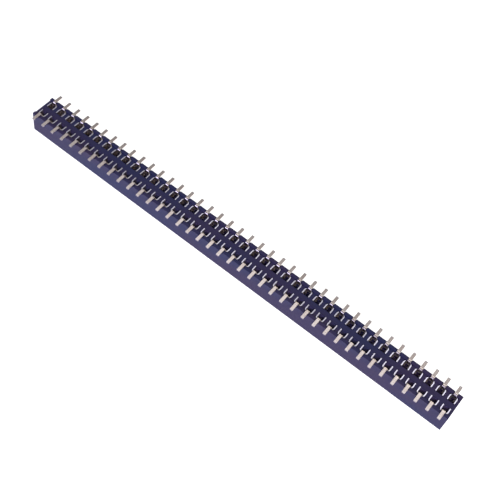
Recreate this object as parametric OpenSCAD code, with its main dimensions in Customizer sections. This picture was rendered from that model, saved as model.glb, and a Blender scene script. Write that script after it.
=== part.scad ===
// Double-row female header for surface mounting, 2.54 mm pitch, low profile.
//
// The moulded housing stands on its mating face (z = 0) with its board side up.
// Every position holds two stamped contacts, one in the rear row (+Y) and one in
// the front row (-Y). A contact is a U of thin strip: two arms that end in spring
// leaves around the pin, and a back plate that rises into a soldering tail, which
// bends outwards over a notch in the rail along the side of the housing.
//
// The origin is the centre of the mating face, X runs along the rows.

/* [Header] */
// Positions along the header, two contacts at each
positions = 40; // [2:1:50]
// Distance from one position to the next
pitch = 2.54; // [2.54:0.01:3.2]
// Distance between the two rows of sockets
row_spacing = 2.54; // [2.5:0.01:2.8]

/* [Housing] */
// Width of the housing across both rows
body_w = 5.65; // [5.3:0.05:7]
// Extra wall at each end, beyond half a pitch
end_wall = 0.15; // [0:0.05:1.5]
// Height of the deck that the contacts are pushed into
deck_h = 4.85; // [4.6:0.05:8.5]
// Height of the side rails above the deck
rail_h = 0.3; // [0.3:0.05:0.8]
// Width of the notch in a rail under each tail
notch_w = 0.75; // [0.7:0.05:1.3]
// Thickness of the wall with the pin openings
face_t = 0.9; // [0.6:0.05:1.1]

/* [Pin openings] */
// Side of the square pin that the header takes
pin_w = 0.64; // [0.5:0.01:0.7]
// Gap on each side of the pin in its opening
pin_clear = 0.11; // [0.05:0.01:0.2]
// Side of the square lead-in at the mating face
lead_w = 1.7; // [1.2:0.05:2]
// Depth of the lead-in
lead_d = 0.4; // [0.2:0.05:0.5]

/* [Contacts] */
// Thickness of the strip
strip_t = 0.2; // [0.12:0.01:0.25]
// Width across the two arms, outside
arm_span = 1.71; // [1.5:0.01:1.8]
// Distance from the pin's axis to the outside of the back plate
back_reach = 0.82; // [0.7:0.01:1]
// Distance from the pin's axis to the free edges of the arms
arm_reach = 0.635; // [0.55:0.005:0.7]
// Outside radius of the two corners between back plate and arms
corner_r = 0.53; // [0.3:0.01:0.53]
// Height of the arms
base_h = 1.7; // [1.2:0.05:2]
// Height of the bridge that joins the two arms at the back
bridge_h = 0.6; // [0.5:0.05:1]
// How far the arms stand above the deck
base_proud = 0.05; // [0:0.01:0.15]
// Gap around a contact in its cavity
fit_gap = 0.06; // [0.02:0.01:0.1]
// Length of the retention barb on an arm's free edge
barb_l = 0.3; // [0.2:0.05:0.5]

/* [Spring leaves] */
// Free gap between the two leaves where they grip the pin
grip_gap = 0.44; // [0.3:0.01:0.6]
// Height of the grip above the inside of the mating wall
grip_h = 0.85; // [0.6:0.05:1]
// Height of the leaf tips above the inside of the mating wall
tip_h = 0.25; // [0.15:0.05:0.4]
// How far each tip flares away from the pin
tip_flare = 0.2; // [0.1:0.01:0.3]
// Width of a leaf at its root
leaf_root_w = 1; // [0.8:0.05:1.1]
// Width of a leaf at its tip
leaf_tip_w = 0.7; // [0.5:0.05:0.8]

/* [Tails] */
// Width of a tail
tail_w = 0.64; // [0.5:0.01:0.7]
// How far a tail reaches beyond the side of the housing
tail_out = 1.3; // [0.8:0.05:2]
// How far the tail's soldering face stands above the rails
tail_proud = 0.4; // [0.1:0.01:0.5]
// Inside radius of the tail's bend
bend_r = 0.15; // [0.1:0.01:0.25]
// Radius of the two corners at a tail's end
tail_corner_r = 0.12; // [0.05:0.01:0.2]
// How far the shoulder on each side of a tail's root spreads
shoulder_w = 0.3; // [0.1:0.05:0.3]
// Height of the shoulders above the arms
shoulder_h = 0.25; // [0.1:0.05:0.3]

/* [Hidden] */
$fn = 48;
overcut = 0.5;
lap = 0.1;
root_lap = 0.4;

// Heights, from the mating face up.
rail_top = deck_h + rail_h;
tail_top = rail_top + tail_proud;
base_top = deck_h + base_proud;
base_low = base_top - base_h;
seat_gap = 0.02;
seat_z = base_low - seat_gap;
grip_z = face_t + grip_h;
tip_z = face_t + tip_h;

// Half-widths of the contact and its cavity.
arm_half = arm_span / 2;
cavity_half = arm_half + fit_gap;
barb_tip = arm_reach + fit_gap;
cavity_in = barb_tip + seat_gap;
cavity_out = back_reach + fit_gap;
well_out = back_reach - strip_t - seat_gap;
opening_w = pin_w + 2 * pin_clear;

// Places across the housing, from its centre line outwards. The rails start
// where the cavities end.
row_y = row_spacing / 2;
rail_y = row_y + cavity_out;
rail_t = body_w / 2 - rail_y;
tail_tip_y = body_w / 2 + tail_out;

// Length of the housing.
body_l = positions * pitch + 2 * end_wall;

// Middle line of a leaf in the XZ plane. From s = 0 to 1 it sways from the arm in
// to the grip, and from s = 1 to 2 it flares out again as a parabola.
leaf_steps = 10;
arm_mid = arm_half - strip_t / 2;
grip_mid = (grip_gap + strip_t) / 2;
sway_in = grip_mid - arm_mid;
sway_down = grip_z - base_low;
flare_down = tip_z - grip_z;
function sway_point(s) = [arm_mid + sway_in * (1 - cos(180 * s)) / 2, base_low + sway_down * s];
function sway_run(s) = [sway_in * PI / 2 * sin(180 * s), sway_down];
function flare_point(s) = [grip_mid + tip_flare * pow(s - 1, 2), grip_z + flare_down * (s - 1)];
function flare_run(s) = [2 * tip_flare * (s - 1), flare_down];
function leaf_point(s) = s < 1 ? sway_point(s) : flare_point(s);
function leaf_run(s) = s < 1 ? sway_run(s) : flare_run(s);
function leaf_normal(s) = [-leaf_run(s)[1], leaf_run(s)[0]] / norm(leaf_run(s));
function leaf_side(s, d) = leaf_point(s) + d * leaf_normal(s);

// Names of the nodes: the housing, then one pair of contacts for each position.
function two_digits(n) = str(n < 10 ? "0" : "", n);
function pair_name(n) = str("contact_pair_", two_digits(n));
function position_x(n) = (n - (positions + 1) / 2) * pitch;

// Puts its children at the pin axis of one position in both rows. The children
// are drawn for the rear row, with the outside of the housing towards +Y.
module both_rows() {
    for (side = [0, 1])
        mirror([0, side, 0])
            translate([0, row_y, 0])
                children();
}

// Puts its children at the pin axis of every contact.
module every_contact() {
    for (n = [1 : positions])
        translate([position_x(n), 0, 0])
            both_rows()
                children();
}

// Stands a profile up: its first axis along X and its second along Z, with the
// given thickness along Y, centred on the XZ plane.
module across_y(thickness) {
    rotate([90, 0, 0])
        linear_extrude(thickness, center = true)
            children();
}

// Stands a profile up: its first axis along Y and its second along Z, with the
// given thickness along X, centred on the YZ plane.
module across_x(thickness) {
    rotate([90, 0, 90])
        linear_extrude(thickness, center = true)
            children();
}

// --- Housing ---------------------------------------------------------------

// A box-shaped hollow for one contact, from y0 to y1 off the pin's axis.
module hollow(y0, y1, z0, z1) {
    translate([-cavity_half, y0, z0])
        cube([2 * cavity_half, y1 - y0, z1 - z0]);
}

// One side of the square funnel that guides a pin in.
module funnel_profile() {
    slope = (lead_w - opening_w) / 2 / lead_d;
    mouth = lead_w / 2 + slope * overcut;
    polygon([
        [-mouth, -overcut],
        [mouth, -overcut],
        [opening_w / 2, lead_d],
        [-opening_w / 2, lead_d]
    ]);
}

// The square opening in the mating wall with its four-sided lead-in.
module pin_opening() {
    intersection() {
        across_y(2 * lead_w) funnel_profile();
        across_x(2 * lead_w) funnel_profile();
    }
    translate([-opening_w / 2, -opening_w / 2, 0])
        cube([opening_w, opening_w, face_t + overcut]);
}

// Everything that one contact needs to be free of plastic.
module contact_space() {
    // the upper chamber holds the U, and its ledge stops the back plate
    hollow(-cavity_in, cavity_out, seat_z, deck_h + overcut);
    // the well gives the leaves room to open
    hollow(-cavity_in, well_out, face_t, seat_z + seat_gap);
    // the notch lets the tail out over the side of the housing
    translate([-notch_w / 2, 0, deck_h])
        cube([notch_w, body_w, rail_h + overcut]);
    pin_opening();
}

module housing() {
    color("#46447a")
        difference() {
            union() {
                translate([-body_l / 2, -body_w / 2, 0])
                    cube([body_l, body_w, deck_h]);
                for (side = [0, 1])
                    mirror([0, side, 0])
                        translate([-body_l / 2, rail_y, deck_h])
                            cube([body_l, rail_t, rail_h]);
            }
            every_contact() contact_space();
        }
}

// --- Contact ---------------------------------------------------------------

// An arch open towards -Y: straight sides, a back and two round corners.
module arch(half, back, front, r) {
    translate([-half, front])
        square([2 * half, back - r - front]);
    translate([r - half, front])
        square([2 * (half - r), back - front]);
    for (side = [-1, 1])
        translate([side * (half - r), back - r])
            circle(r);
}

// The U in plan: the back plate and the two arms, one strip thick.
module base_outline() {
    difference() {
        arch(arm_half, back_reach, -arm_reach, corner_r);
        arch(arm_half - strip_t, back_reach - strip_t, -arm_reach - overcut, corner_r - strip_t);
    }
}

// The U with a window under its bridge, as wide as the flat of the back plate.
module base() {
    flat_half = arm_half - corner_r;
    difference() {
        translate([0, 0, base_low])
            linear_extrude(base_h)
                base_outline();
        translate([-flat_half, back_reach - strip_t - lap, base_low - overcut])
            cube([2 * flat_half, strip_t + 2 * lap, base_h - bridge_h + overcut]);
    }
}

// The shoulders that the back plate rises with to both sides of the tail. They
// follow its round corners.
module shoulders() {
    foot = tail_w / 2 + shoulder_w;
    intersection() {
        translate([0, 0, base_top - lap])
            linear_extrude(lap + shoulder_h)
                base_outline();
        translate([0, back_reach, 0])
            across_y(2 * corner_r)
                polygon([
                    [-foot, base_top - lap],
                    [foot, base_top - lap],
                    [foot, base_top],
                    [tail_w / 2, base_top + shoulder_h],
                    [-tail_w / 2, base_top + shoulder_h],
                    [-foot, base_top]
                ]);
    }
}

// The tooth on each arm's free edge that holds the contact in the cavity wall.
module barbs() {
    for (side = [-1, 1])
        translate([side * arm_mid, 0, base_low])
            across_x(strip_t)
                polygon([
                    [-arm_reach + lap, barb_l],
                    [-arm_reach + lap, 0],
                    [-arm_reach, 0],
                    [-barb_tip, barb_l]
                ]);
}

// Both leaves in outline, before their sides are tapered. Each starts inside
// its arm, at the same thickness.
module leaf_pair() {
    down = [for (k = [0 : 2 * leaf_steps]) k / leaf_steps];
    up = [for (k = [2 * leaf_steps : -1 : 0]) k / leaf_steps];
    root = [[arm_half, base_low + lap], [arm_half - strip_t, base_low + lap]];
    inner = [for (s = down) leaf_side(s, -strip_t / 2)];
    outer = [for (s = up) leaf_side(s, strip_t / 2)];
    for (side = [0, 1])
        mirror([side, 0, 0])
            across_y(2 * leaf_root_w)
                polygon(concat(root, inner, outer));
}

// The side view that the leaves are cut to, narrower towards the tips.
module leaf_taper() {
    across_x(2 * arm_span)
        polygon([
            [-leaf_root_w / 2, base_low + lap],
            [leaf_root_w / 2, base_low + lap],
            [leaf_root_w / 2, base_low],
            [leaf_tip_w / 2, tip_z - strip_t],
            [-leaf_tip_w / 2, tip_z - strip_t],
            [-leaf_root_w / 2, base_low]
        ]);
}

// The tail in side view: up from the back plate and round the bend.
module tail_bend() {
    bend_low = tail_top - strip_t - bend_r;
    translate([back_reach - strip_t, base_top - root_lap])
        square([strip_t, bend_low - base_top + root_lap]);
    translate([back_reach + bend_r, bend_low])
        difference() {
            intersection() {
                circle(bend_r + strip_t);
                translate([-bend_r - strip_t, 0])
                    square(bend_r + strip_t);
            }
            circle(bend_r);
        }
}

// The flat end of the tail in plan, with two round corners at its tip.
module tail_outline() {
    y0 = back_reach + bend_r;
    y1 = tail_tip_y - row_y;
    translate([-tail_w / 2, y0])
        square([tail_w, y1 - tail_corner_r - y0]);
    translate([tail_corner_r - tail_w / 2, y0])
        square([tail_w - 2 * tail_corner_r, y1 - y0]);
    for (side = [-1, 1])
        translate([side * (tail_w / 2 - tail_corner_r), y1 - tail_corner_r])
            circle(tail_corner_r);
}

module contact() {
    base();
    shoulders();
    barbs();
    intersection() {
        leaf_pair();
        leaf_taper();
    }
    across_x(tail_w) tail_bend();
    translate([0, 0, tail_top - strip_t])
        linear_extrude(strip_t)
            tail_outline();
}

// The rear and the front contact of one position, two separate stampings.
module contact_pair(n) {
    color("#cdb892")
        translate([position_x(n), 0, 0])
            both_rows()
                contact();
}

housing();
for (n = [1 : positions])
    contact_pair(n);
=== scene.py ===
# %% [markdown]
# # A double-row female header in Blender
#
# The part is a socket strip for a circuit board: one moulded housing and eighty stamped contacts.
# The solid model already has every wall, spring and tail, so this lesson is about what a solid
# model lacks: what the plastic and the metal look like, and how a small glossy part is lit.
#
# All lengths are in metres, in the frame of the solid model. X runs along the rows, Y across them,
# and Z points from the mating face, which the part lies on, to the board side with the tails.

from math import radians

import bpy
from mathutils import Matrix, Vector


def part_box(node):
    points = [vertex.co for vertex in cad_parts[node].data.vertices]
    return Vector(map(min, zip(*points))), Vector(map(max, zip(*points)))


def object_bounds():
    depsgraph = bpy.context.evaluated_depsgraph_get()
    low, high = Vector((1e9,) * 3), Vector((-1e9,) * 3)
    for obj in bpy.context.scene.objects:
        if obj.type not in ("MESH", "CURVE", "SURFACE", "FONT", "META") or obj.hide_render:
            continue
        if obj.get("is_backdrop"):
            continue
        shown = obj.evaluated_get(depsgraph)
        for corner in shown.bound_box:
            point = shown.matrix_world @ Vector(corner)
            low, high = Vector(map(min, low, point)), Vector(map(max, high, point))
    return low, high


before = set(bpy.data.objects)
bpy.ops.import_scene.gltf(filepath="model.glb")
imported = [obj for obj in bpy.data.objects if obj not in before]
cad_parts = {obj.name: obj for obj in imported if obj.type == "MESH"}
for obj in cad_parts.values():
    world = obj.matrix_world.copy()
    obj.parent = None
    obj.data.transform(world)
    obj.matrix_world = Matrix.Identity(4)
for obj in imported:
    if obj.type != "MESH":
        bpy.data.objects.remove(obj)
cad_low, cad_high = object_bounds()

MM = 0.001
print("nodes:", len(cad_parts))
print("overall size in mm:", [round(side / MM, 2) for side in cad_high - cad_low])

# %% [markdown]
# ## Measures that the finishes need
#
# A finish often depends on where it sits on a part. The cut edge of a strip looks different from
# its rolled face, for example, so the material has to know how high that edge stands. Such measures
# could be typed in, but then they would be wrong as soon as the model changes. Here they are read
# from the boxes of the loaded pieces. The deck is the second highest level of the housing, under
# the tops of the rails, so it comes from the heights of the corners of its mesh.

# %% Read the measures
_, housing_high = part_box("housing")
_, contact_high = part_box("contact_pair_01")

housing_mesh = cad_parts["housing"].data
corner_heights = sorted({round(corner.co.z, 6) for corner in housing_mesh.vertices})
deck_z = corner_heights[-2]
rail_top_z = housing_high.z
side_wall_y = housing_high.y
tail_tip_y = contact_high.y
print("deck and rails stand, in mm, at:", round(deck_z / MM, 3), round(rail_top_z / MM, 3))
print("tails reach beyond the side by, in mm:", round((tail_tip_y - side_wall_y) / MM, 3))

# %% [markdown]
# ## A material to start from
#
# Both finishes are built from shader nodes. A node graph written call by call is long and hard to
# read, so a few small helpers wrap the nodes that come back again and again. Each takes the graph
# and returns an output socket, which makes a finish read like a recipe. The alternative is one node
# group per step, which suits work by hand in the editor, but it hides the values in other places.
#
# The first two helpers make an empty material, and put a value into a socket. The value can be a
# plain number or the output of another node.

# %% Start a material
def new_graph(name):
    """A material with an empty shader: the material, its graph and the shader."""
    material = bpy.data.materials.new(name)
    material.use_nodes = True
    graph = material.node_tree
    graph.nodes.clear()
    output = graph.nodes.new("ShaderNodeOutputMaterial")
    shader = graph.nodes.new("ShaderNodeBsdfPrincipled")
    graph.links.new(shader.outputs["BSDF"], output.inputs["Surface"])
    return material, graph, shader


def feed(graph, value, socket):
    """Links an output socket to an input, or sets the input to a plain value."""
    if isinstance(value, bpy.types.NodeSocket):
        graph.links.new(value, socket)
    else:
        socket.default_value = value


print("helpers for a graph:", new_graph.__name__, feed.__name__)

# %% [markdown]
# ## Noise that is fixed to the part
#
# Real surfaces are never even. Noise nodes give them clouds, streaks and grain, and the size of
# their lumps is set in millimetres, as it would be measured on the part. The noise is placed by
# the coordinates of the piece, so it stays put when the camera moves. Multiplying one axis by a
# small factor first draws the lumps out along that axis.

# %% Draw noise on a piece
def place(graph):
    """Where a point lies on the part, in metres."""
    return graph.nodes.new("ShaderNodeTexCoord").outputs["Object"]


def stretched(graph, vector, factors):
    """A place with each axis multiplied, which draws a texture out along the small factors."""
    node = graph.nodes.new("ShaderNodeVectorMath")
    node.operation = "MULTIPLY"
    feed(graph, vector, node.inputs[0])
    node.inputs[1].default_value = factors
    return node.outputs["Vector"]


def noise(graph, vector, grain, detail=3.0, roughness=0.5):
    """Cloudy noise from 0 to 1, whose largest lumps are about one grain across."""
    node = graph.nodes.new("ShaderNodeTexNoise")
    node.inputs["Scale"].default_value = 1.0 / grain
    node.inputs["Detail"].default_value = detail
    node.inputs["Roughness"].default_value = roughness
    feed(graph, vector, node.inputs["Vector"])
    return node.outputs["Fac"]


print("helpers for noise:", place.__name__, stretched.__name__, noise.__name__)

# %% [markdown]
# ## Sums inside a material
#
# A mask is a number from 0 to 1 that says where a finish goes. It is worked out from heights and
# distances, so the graph has to take a vector apart, do sums, and turn a distance into a soft
# edge. A hard edge would need no fade, but it looks like tape on a real part.

# %% Work with numbers
def axes_of(graph, vector):
    """The X, Y and Z parts of a vector."""
    node = graph.nodes.new("ShaderNodeSeparateXYZ")
    feed(graph, vector, node.inputs["Vector"])
    return node.outputs["X"], node.outputs["Y"], node.outputs["Z"]


def math(graph, operation, a, b=0.0, c=0.0):
    """One Math node."""
    node = graph.nodes.new("ShaderNodeMath")
    node.operation = operation
    for value, socket in zip((a, b, c), node.inputs):
        feed(graph, value, socket)
    return node.outputs["Value"]


def fade(graph, value, start, end, low=0.0, high=1.0):
    """Goes smoothly from low to high while the value goes from start to end."""
    node = graph.nodes.new("ShaderNodeMapRange")
    node.interpolation_type = "SMOOTHSTEP"
    feed(graph, value, node.inputs["Value"])
    node.inputs["From Min"].default_value = start
    node.inputs["From Max"].default_value = end
    node.inputs["To Min"].default_value = low
    node.inputs["To Max"].default_value = high
    return node.outputs["Result"]


print("helpers for numbers:", axes_of.__name__, math.__name__, fade.__name__)

# %% [markdown]
# ## Colours and fine relief
#
# A colour picked on a screen has to be turned into linear light before a shader can work with it.
# Colours are then mixed by a mask. Relief finer than a triangle goes into the surface normal: a
# bump node reads a height, here in metres, so its distance stays 1.

# %% Mix colours and raise relief
def srgb(red, green, blue):
    """A colour picked on a screen, 0 to 255, as the linear light that shaders work in."""
    def linear(level):
        level = level / 255
        return level / 12.92 if level <= 0.04045 else ((level + 0.055) / 1.055) ** 2.4
    return (linear(red), linear(green), linear(blue), 1.0)


def blend(graph, factor, colour_a, colour_b, how="MIX"):
    """Mixes two colours, or multiplies the first by the second where the factor is 1."""
    node = graph.nodes.new("ShaderNodeMix")
    node.data_type = "RGBA"
    node.blend_type = how
    feed(graph, factor, node.inputs["Factor"])
    feed(graph, colour_a, node.inputs["A"])
    feed(graph, colour_b, node.inputs["B"])
    return node.outputs["Result"]


def bump(graph, height):
    """A surface normal that follows a height in metres."""
    node = graph.nodes.new("ShaderNodeBump")
    node.inputs["Distance"].default_value = 1.0
    feed(graph, height, node.inputs["Height"])
    return node.outputs["Normal"]


print("half of full screen white is", round(srgb(128, 128, 128)[0], 3), "in linear light")

# %% [markdown]
# ## Painted light inside the housing
#
# The walls of the cavities are formed by thin core pins. Their colour is made lighter, as painted
# light that stands in for the light that reaches down into the cavities. A mask that is 1 inside
# the housing and 0 on its outer faces finds them. It is made from the height, between the mating
# face and the deck, and from the distance to the side walls. Painting the faces one by one would
# do the same, but only for this number of positions.

# %% Find the walls inside the housing
UNDER_DECK = (0.05 * MM, 0.4 * MM)
OVER_MATING_FACE = (0.2 * MM, 0.6 * MM)
BEHIND_SIDE = (0.05 * MM, 0.15 * MM)


def inside_of_housing(graph, spot):
    """Is 1 on the walls inside the housing and 0 on its outer faces."""
    _, y, z = axes_of(graph, spot)
    from_middle = math(graph, "ABSOLUTE", y)
    sunk = fade(graph, z, *[deck_z - depth for depth in UNDER_DECK])
    raised = fade(graph, z, *OVER_MATING_FACE)
    off_side = fade(graph, from_middle, *[side_wall_y - depth for depth in BEHIND_SIDE])
    return math(graph, "MULTIPLY", math(graph, "MULTIPLY", sunk, raised), off_side)


# Heights between which the painted light inside the housing is at full strength.
painted_light_from, painted_light_to = OVER_MATING_FACE[1], deck_z - UNDER_DECK[1]
print("the skin is full between, in mm:", round(painted_light_from / MM, 2), round(painted_light_to / MM, 2))

# %% [markdown]
# ## Housing plastic
#
# Housings like this are moulded in nylon filled with short glass fibres, which has to survive the
# soldering oven. The mould is spark-eroded, so the surface is a fine satin and not a gloss. The
# fibres give it a faint cloudiness, drawn out along the housing because the melt flows that way.
# A noise-driven mix of close indigo tones gives the cloudiness, and a much finer noise, in both
# bump and roughness, gives the satin. Real displacement would need millions of faces for the same
# effect, and an image texture would need a picture.

# %% Mix the housing plastic
INDIGO = srgb(51, 49, 83)
BLUE_INDIGO = srgb(46, 49, 87)
PLUM_INDIGO = srgb(59, 49, 82)
# Painted light: the walls inside the housing are made this many times lighter.
CAVITY_PAINTED_LIGHT = (2.5, 2.5, 2.5, 1.0)
FLOW = (0.25, 1.0, 1.0)
CLOUD = 6.0 * MM
CLOUD_EDGES = (0.35, 0.65)
SATIN = 0.06 * MM
SATIN_DEPTH = 0.002 * MM
SATIN_EDGES = (0.2, 0.8)
SPECKLE_EDGES = (0.3, 0.8)
SPECKLE_SHARE = 0.35
PLASTIC_ROUGHNESS = (0.42, 0.58)
PLASTIC_IOR = 1.53
PLASTIC_SHINE = 0.12


def housing_plastic():
    material, graph, shader = new_graph("housing_plastic")
    spot = place(graph)
    clouds = noise(graph, stretched(graph, spot, FLOW), CLOUD, detail=4.0)
    satin = noise(graph, spot, SATIN, detail=2.0, roughness=0.6)
    tone = blend(graph, fade(graph, clouds, *CLOUD_EDGES), BLUE_INDIGO, PLUM_INDIGO)
    speckle = fade(graph, satin, *SPECKLE_EDGES, 0.0, SPECKLE_SHARE)
    speckled = blend(graph, speckle, tone, INDIGO)
    # Painted light: the walls inside the housing are lightened, for light that reaches into the
    # cavities.
    painted_light_inside = blend(graph, inside_of_housing(graph, spot), speckled, CAVITY_PAINTED_LIGHT, "MULTIPLY")
    rough = fade(graph, satin, *SATIN_EDGES, *PLASTIC_ROUGHNESS)
    relief = bump(graph, math(graph, "MULTIPLY", satin, SATIN_DEPTH))
    feed(graph, painted_light_inside, shader.inputs["Base Color"])
    feed(graph, rough, shader.inputs["Roughness"])
    feed(graph, relief, shader.inputs["Normal"])
    shader.inputs["IOR"].default_value = PLASTIC_IOR
    shader.inputs["Specular IOR Level"].default_value = PLASTIC_SHINE
    return material


plastic = housing_plastic()
print("housing plastic:", len(plastic.node_tree.nodes), "nodes")

# %% [markdown]
# ## Tint of the contacts
#
# The contacts are stamped from copper alloy strip, plated, and bent up. A metal has almost no
# colour of its own in the shadows: it is made of what it reflects, tinted. So the work goes into
# the tint and the masks that tell one kind of face from another. The tint also holds painted
# light: a pale lavender painted highlight on the cut edges of the arms, which face up out of the
# cavities, a pale painted highlight near the tips of the tails, and a darker painted shade on
# their end faces.
#
# A material for each kind of face would need the faces to be picked by hand. The masks find them
# from their height, from the way they face and from their distance to the tip of the tail.

# %% Tint the faces of a contact
PALE_GOLD = srgb(235, 222, 218)
WARM_GOLD = srgb(224, 209, 204)
# Painted highlight on the cut edges of the arms that face up.
CUT_EDGE_HIGHLIGHT = srgb(232, 228, 246)
# Painted highlight near the tips of the tails.
TIP_HIGHLIGHT = srgb(236, 230, 240)
# Painted shade on the end faces of the tails.
END_FACE_SHADE = srgb(150, 138, 150)
STAIN = 2.0 * MM
STAIN_EDGES = (0.35, 0.65)
FACES_UP = 0.9
FACES_OUT = 0.5
PAINTED_TIP_RANGE = (0.5 * MM, 0.2 * MM)
PAINTED_TIP_SHARE = 0.4
END_DEPTH = 0.15 * MM


def strip_tint(graph, spot, from_middle):
    """The tint of rolled faces, with painted highlights on the cut edges and tail tips and painted
    shade on the end faces.
    """
    _, _, z = axes_of(graph, spot)
    facing = graph.nodes.new("ShaderNodeNewGeometry").outputs["Normal"]
    _, along, up = axes_of(graph, facing)
    off_tip = math(graph, "SUBTRACT", tail_tip_y, from_middle)

    is_low = math(graph, "LESS_THAN", z, rail_top_z)
    # Painted highlight mask: faces that point up, below the tops of the rails.
    painted_cut_mask = math(graph, "MULTIPLY", math(graph, "GREATER_THAN", up, FACES_UP), is_low)
    # Painted highlight mask: rises over the last half millimetre of each tail.
    painted_tip_mask = fade(graph, off_tip, *PAINTED_TIP_RANGE, 0.0, PAINTED_TIP_SHARE)
    # Painted shade mask: faces that point out across the rows, at the tips of the tails.
    faces_out = math(graph, "GREATER_THAN", math(graph, "ABSOLUTE", along), FACES_OUT)
    painted_end_mask = math(graph, "MULTIPLY", faces_out, math(graph, "LESS_THAN", off_tip, END_DEPTH))

    stain = fade(graph, noise(graph, spot, STAIN, detail=2.0), *STAIN_EDGES)
    tint = blend(graph, stain, PALE_GOLD, WARM_GOLD)
    tint = blend(graph, painted_cut_mask, tint, CUT_EDGE_HIGHLIGHT)
    tint = blend(graph, painted_tip_mask, tint, TIP_HIGHLIGHT)
    return blend(graph, painted_end_mask, tint, END_FACE_SHADE)


# The pale tail tips are a painted highlight; this shows where it starts.
print("tails are worn over, in mm:", round(PAINTED_TIP_RANGE[0] / MM, 2))

# %% [markdown]
# ## Contact metal
#
# The rolled faces keep the fine lines of the rolling mill, which show in the roughness and in a
# slight relief. The shader is fully metallic, with the tint from above. Inside the cavities it is
# rougher, so that the backs of the contacts don't flash like the tails.
#
# The tails also fall a few degrees towards their tips, which decides what each row of them
# mirrors. The solid tails are flat, so a slope in the bump gives their shading that fall.

# %% Mix the contact metal
ROLLING = (18.0, 1.0, 1.0)
LINE = 0.4 * MM
LINE_DEPTH = 0.001 * MM
LINE_EDGES = (0.3, 0.7)
METAL_ROUGHNESS = (0.18, 0.30)
DULL_DEPTHS = (0.05 * MM, 0.3 * MM)
DULL_INSIDE = 0.16
FALL = -0.087
FALL_START = 2.4 * MM


def contact_metal():
    material, graph, shader = new_graph("contact_metal")
    spot = place(graph)
    _, y, z = axes_of(graph, spot)
    from_middle = math(graph, "ABSOLUTE", y)
    lines = noise(graph, stretched(graph, spot, ROLLING), LINE, detail=3.0)

    streaks = fade(graph, lines, *LINE_EDGES, *METAL_ROUGHNESS)
    dulled = fade(graph, z, *[deck_z - depth for depth in DULL_DEPTHS], 0.0, DULL_INSIDE)
    past_bend = math(graph, "MAXIMUM", math(graph, "SUBTRACT", from_middle, FALL_START), 0.0)
    slope = math(graph, "MULTIPLY", past_bend, FALL)
    height = math(graph, "MULTIPLY_ADD", lines, LINE_DEPTH, slope)

    feed(graph, strip_tint(graph, spot, from_middle), shader.inputs["Base Color"])
    feed(graph, math(graph, "ADD", streaks, dulled), shader.inputs["Roughness"])
    feed(graph, bump(graph, height), shader.inputs["Normal"])
    shader.inputs["Metallic"].default_value = 1.0
    return material


metal = contact_metal()
print("contact metal:", len(metal.node_tree.nodes), "nodes")

# %% [markdown]
# ## Dress the pieces
#
# Every piece of the solid model already has the right shape, so it stays and only gets its finish.
# New meshes would only be needed for soft or ragged forms, and a header has none.

# %% Give each piece its finish
for name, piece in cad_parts.items():
    finish = plastic if name == "housing" else metal
    piece.data.materials.clear()
    piece.data.materials.append(finish)
print("dressed:", len(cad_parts), "pieces")

# %% [markdown]
# ## Camera
#
# The header is seen from above its front right, near enough that the far end looks smaller. A
# camera can be aimed by a target and an up direction, or by three turns. The turns are used
# because the picture is also rolled a little, so that the strip runs from corner to corner. The
# picture shows colours as they are, without a film curve.

# %% Set up the camera
CAMERA_AT = Vector((47.18, -87.92, 159.02)) * MM
CAMERA_TURNS = (32.23, -7.24, 37.85)
LENS = 68.4
NEAREST_SEEN = 0.005
FARTHEST_SEEN = 50.0

camera = bpy.data.objects.new("camera", bpy.data.cameras.new("camera"))
bpy.context.scene.collection.objects.link(camera)
camera.location = CAMERA_AT
camera.rotation_euler = [radians(turn) for turn in CAMERA_TURNS]
camera.data.lens = LENS
camera.data.clip_start = NEAREST_SEEN
camera.data.clip_end = FARTHEST_SEEN
bpy.context.scene.camera = camera
bpy.context.scene.view_settings.view_transform = "Standard"
print("camera stands off by, in mm:", round(CAMERA_AT.length / MM))

# %% [markdown]
# ## White sheet
#
# The part lies on a white sheet. A sheet that is only lit renders grey in the corners, so it also
# glows a little, but only for rays that come from the camera or that left a shiny or clear surface.
# So the background is white, the metal mirrors the same white, the shadow under the part stays, and
# the glow sends no extra light up at the plastic.

# %% Mix the white of the sheet
SHEET_COLOUR = srgb(235, 235, 235)
SHEET_ROUGHNESS = 0.9
FLOOR_GLOW = 0.8
GLOW_COLOUR = (1.0, 1.0, 1.0, 1.0)


def white_sheet():
    material, graph, shader = new_graph("white_sheet")
    path = graph.nodes.new("ShaderNodeLightPath").outputs
    seen = math(graph, "MAXIMUM", path["Is Camera Ray"], path["Is Glossy Ray"])
    seen = math(graph, "MAXIMUM", seen, path["Is Transmission Ray"])
    feed(graph, math(graph, "MULTIPLY", seen, FLOOR_GLOW), shader.inputs["Emission Strength"])
    shader.inputs["Emission Color"].default_value = GLOW_COLOUR
    shader.inputs["Base Color"].default_value = SHEET_COLOUR
    shader.inputs["Roughness"].default_value = SHEET_ROUGHNESS
    return material


sheet = white_sheet()
print("white sheet:", len(sheet.node_tree.nodes), "nodes")

# %% [markdown]
# ## Floor
#
# The sheet is so wide that its edge is out of sight, unless the camera is so low that it sees the
# horizon. It lies a hair under the part, because two faces in one plane flicker.

# %% Lay the floor
FLOOR_SIDE = 30.0
FLOOR_DROP = 0.02 * MM


def flat_square(name, side):
    """A level square with its middle at the origin."""
    half = side / 2
    corners = [(-half, -half, 0), (half, -half, 0), (half, half, 0), (-half, half, 0)]
    mesh = bpy.data.meshes.new(name)
    mesh.from_pydata(corners, [], [(0, 1, 2, 3)])
    square = bpy.data.objects.new(name, mesh)
    bpy.context.scene.collection.objects.link(square)
    return square


floor = flat_square("floor", FLOOR_SIDE)
floor.data.materials.append(sheet)
floor.location.z = -FLOOR_DROP
floor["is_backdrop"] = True
print("floor:", FLOOR_SIDE, "m square")

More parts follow.
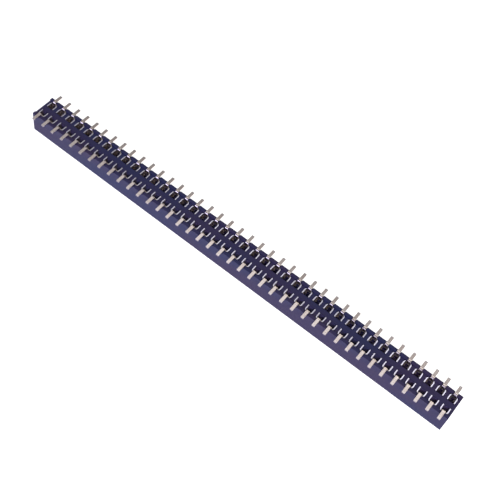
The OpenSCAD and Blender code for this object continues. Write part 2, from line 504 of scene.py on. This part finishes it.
# %% [markdown]
# ## World
#
# A dim, even world fills the cavities, as the pale walls of a room do. One bright sky picture could
# replace the world and all the lamps, but then no patch of light could be set by itself.

# %% Set the world
WORLD_LEVEL = 0.25
WORLD_COLOUR = (1.0, 1.0, 1.0, 1.0)

world = bpy.data.worlds.new("studio")
bpy.context.scene.world = world
world.use_nodes = True
background = world.node_tree.nodes["Background"]
background.inputs["Color"].default_value = WORLD_COLOUR
background.inputs["Strength"].default_value = WORLD_LEVEL
print("world level:", WORLD_LEVEL)

# %% [markdown]
# ## Softboxes
#
# Small shiny parts show their lamps. The flat tops of the tails mirror a patch of the ceiling
# behind the part, so that patch is filled with weak softboxes: two nearly overhead, which the
# falling front tails see, and three further back, which the arms and the rear tails see. The ones
# further back get weaker to the left, and the tails darken with them.
#
# The plastic is matt and needs more light, from the side that the camera is on: one softbox over
# the right shoulder and a wide low pair in front. The pair is cool, which keeps the front face
# violet blue. The one over the shoulder is a little warm, and so is the low one behind, which keeps
# the rear side readable. These two light the deck more than the front face, so the deck is greyer.

# %% Hang the softboxes
WHITE = (1.0, 1.0, 1.0)
COOL = (0.84, 0.86, 1.32)
WARM = (1.05, 1.02, 0.86)
CEILING = 0.5
MIDDLE = Vector((0.0, 0.0, 0.0))


def softbox(name, at, width, power, colour=WHITE):
    """A square lamp of the given width, turned to face the middle of the part."""
    lamp = bpy.data.lights.new(name, "AREA")
    lamp.size = width
    lamp.energy = power
    lamp.color = colour
    lamp_object = bpy.data.objects.new(name, lamp)
    bpy.context.scene.collection.objects.link(lamp_object)
    lamp_object.location = at
    lamp_object.rotation_euler = (MIDDLE - Vector(at)).to_track_quat("-Z", "Y").to_euler()
    print(name, "gives", power, "W from a square of", width, "m")


softbox("overhead_right", (0.05, 0.17, CEILING), 0.18, 0.062)
softbox("overhead_middle", (-0.14, 0.17, CEILING), 0.18, 0.070)
softbox("behind_right", (0.05, 0.29, CEILING), 0.16, 0.078)
softbox("behind_middle", (-0.15, 0.29, CEILING), 0.16, 0.033)
softbox("behind_left", (-0.36, 0.24, CEILING), 0.20, 0.032)
softbox("shoulder", (0.30, -0.25, 0.40), 0.20, 1.35, WARM)
softbox("front_right", (0.25, -0.60, 0.20), 0.40, 1.4, COOL)
softbox("front_left", (-0.25, -0.60, 0.20), 0.40, 1.3, COOL)
softbox("rear_low", (0.0, 0.60, 0.15), 0.40, 0.7, WARM)

# %% [markdown]
# ## Sizes
#
# A dressed model must not outgrow the solid one. The box around everything is measured again,
# and its change from the box at the start is printed.

# %% Print the change in size
seen_low, seen_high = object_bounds()
grown = [round((b - a) / MM, 4) for a, b in zip(cad_high - cad_low, seen_high - seen_low)]
print("the finishes changed the size, in mm, by:", grown)
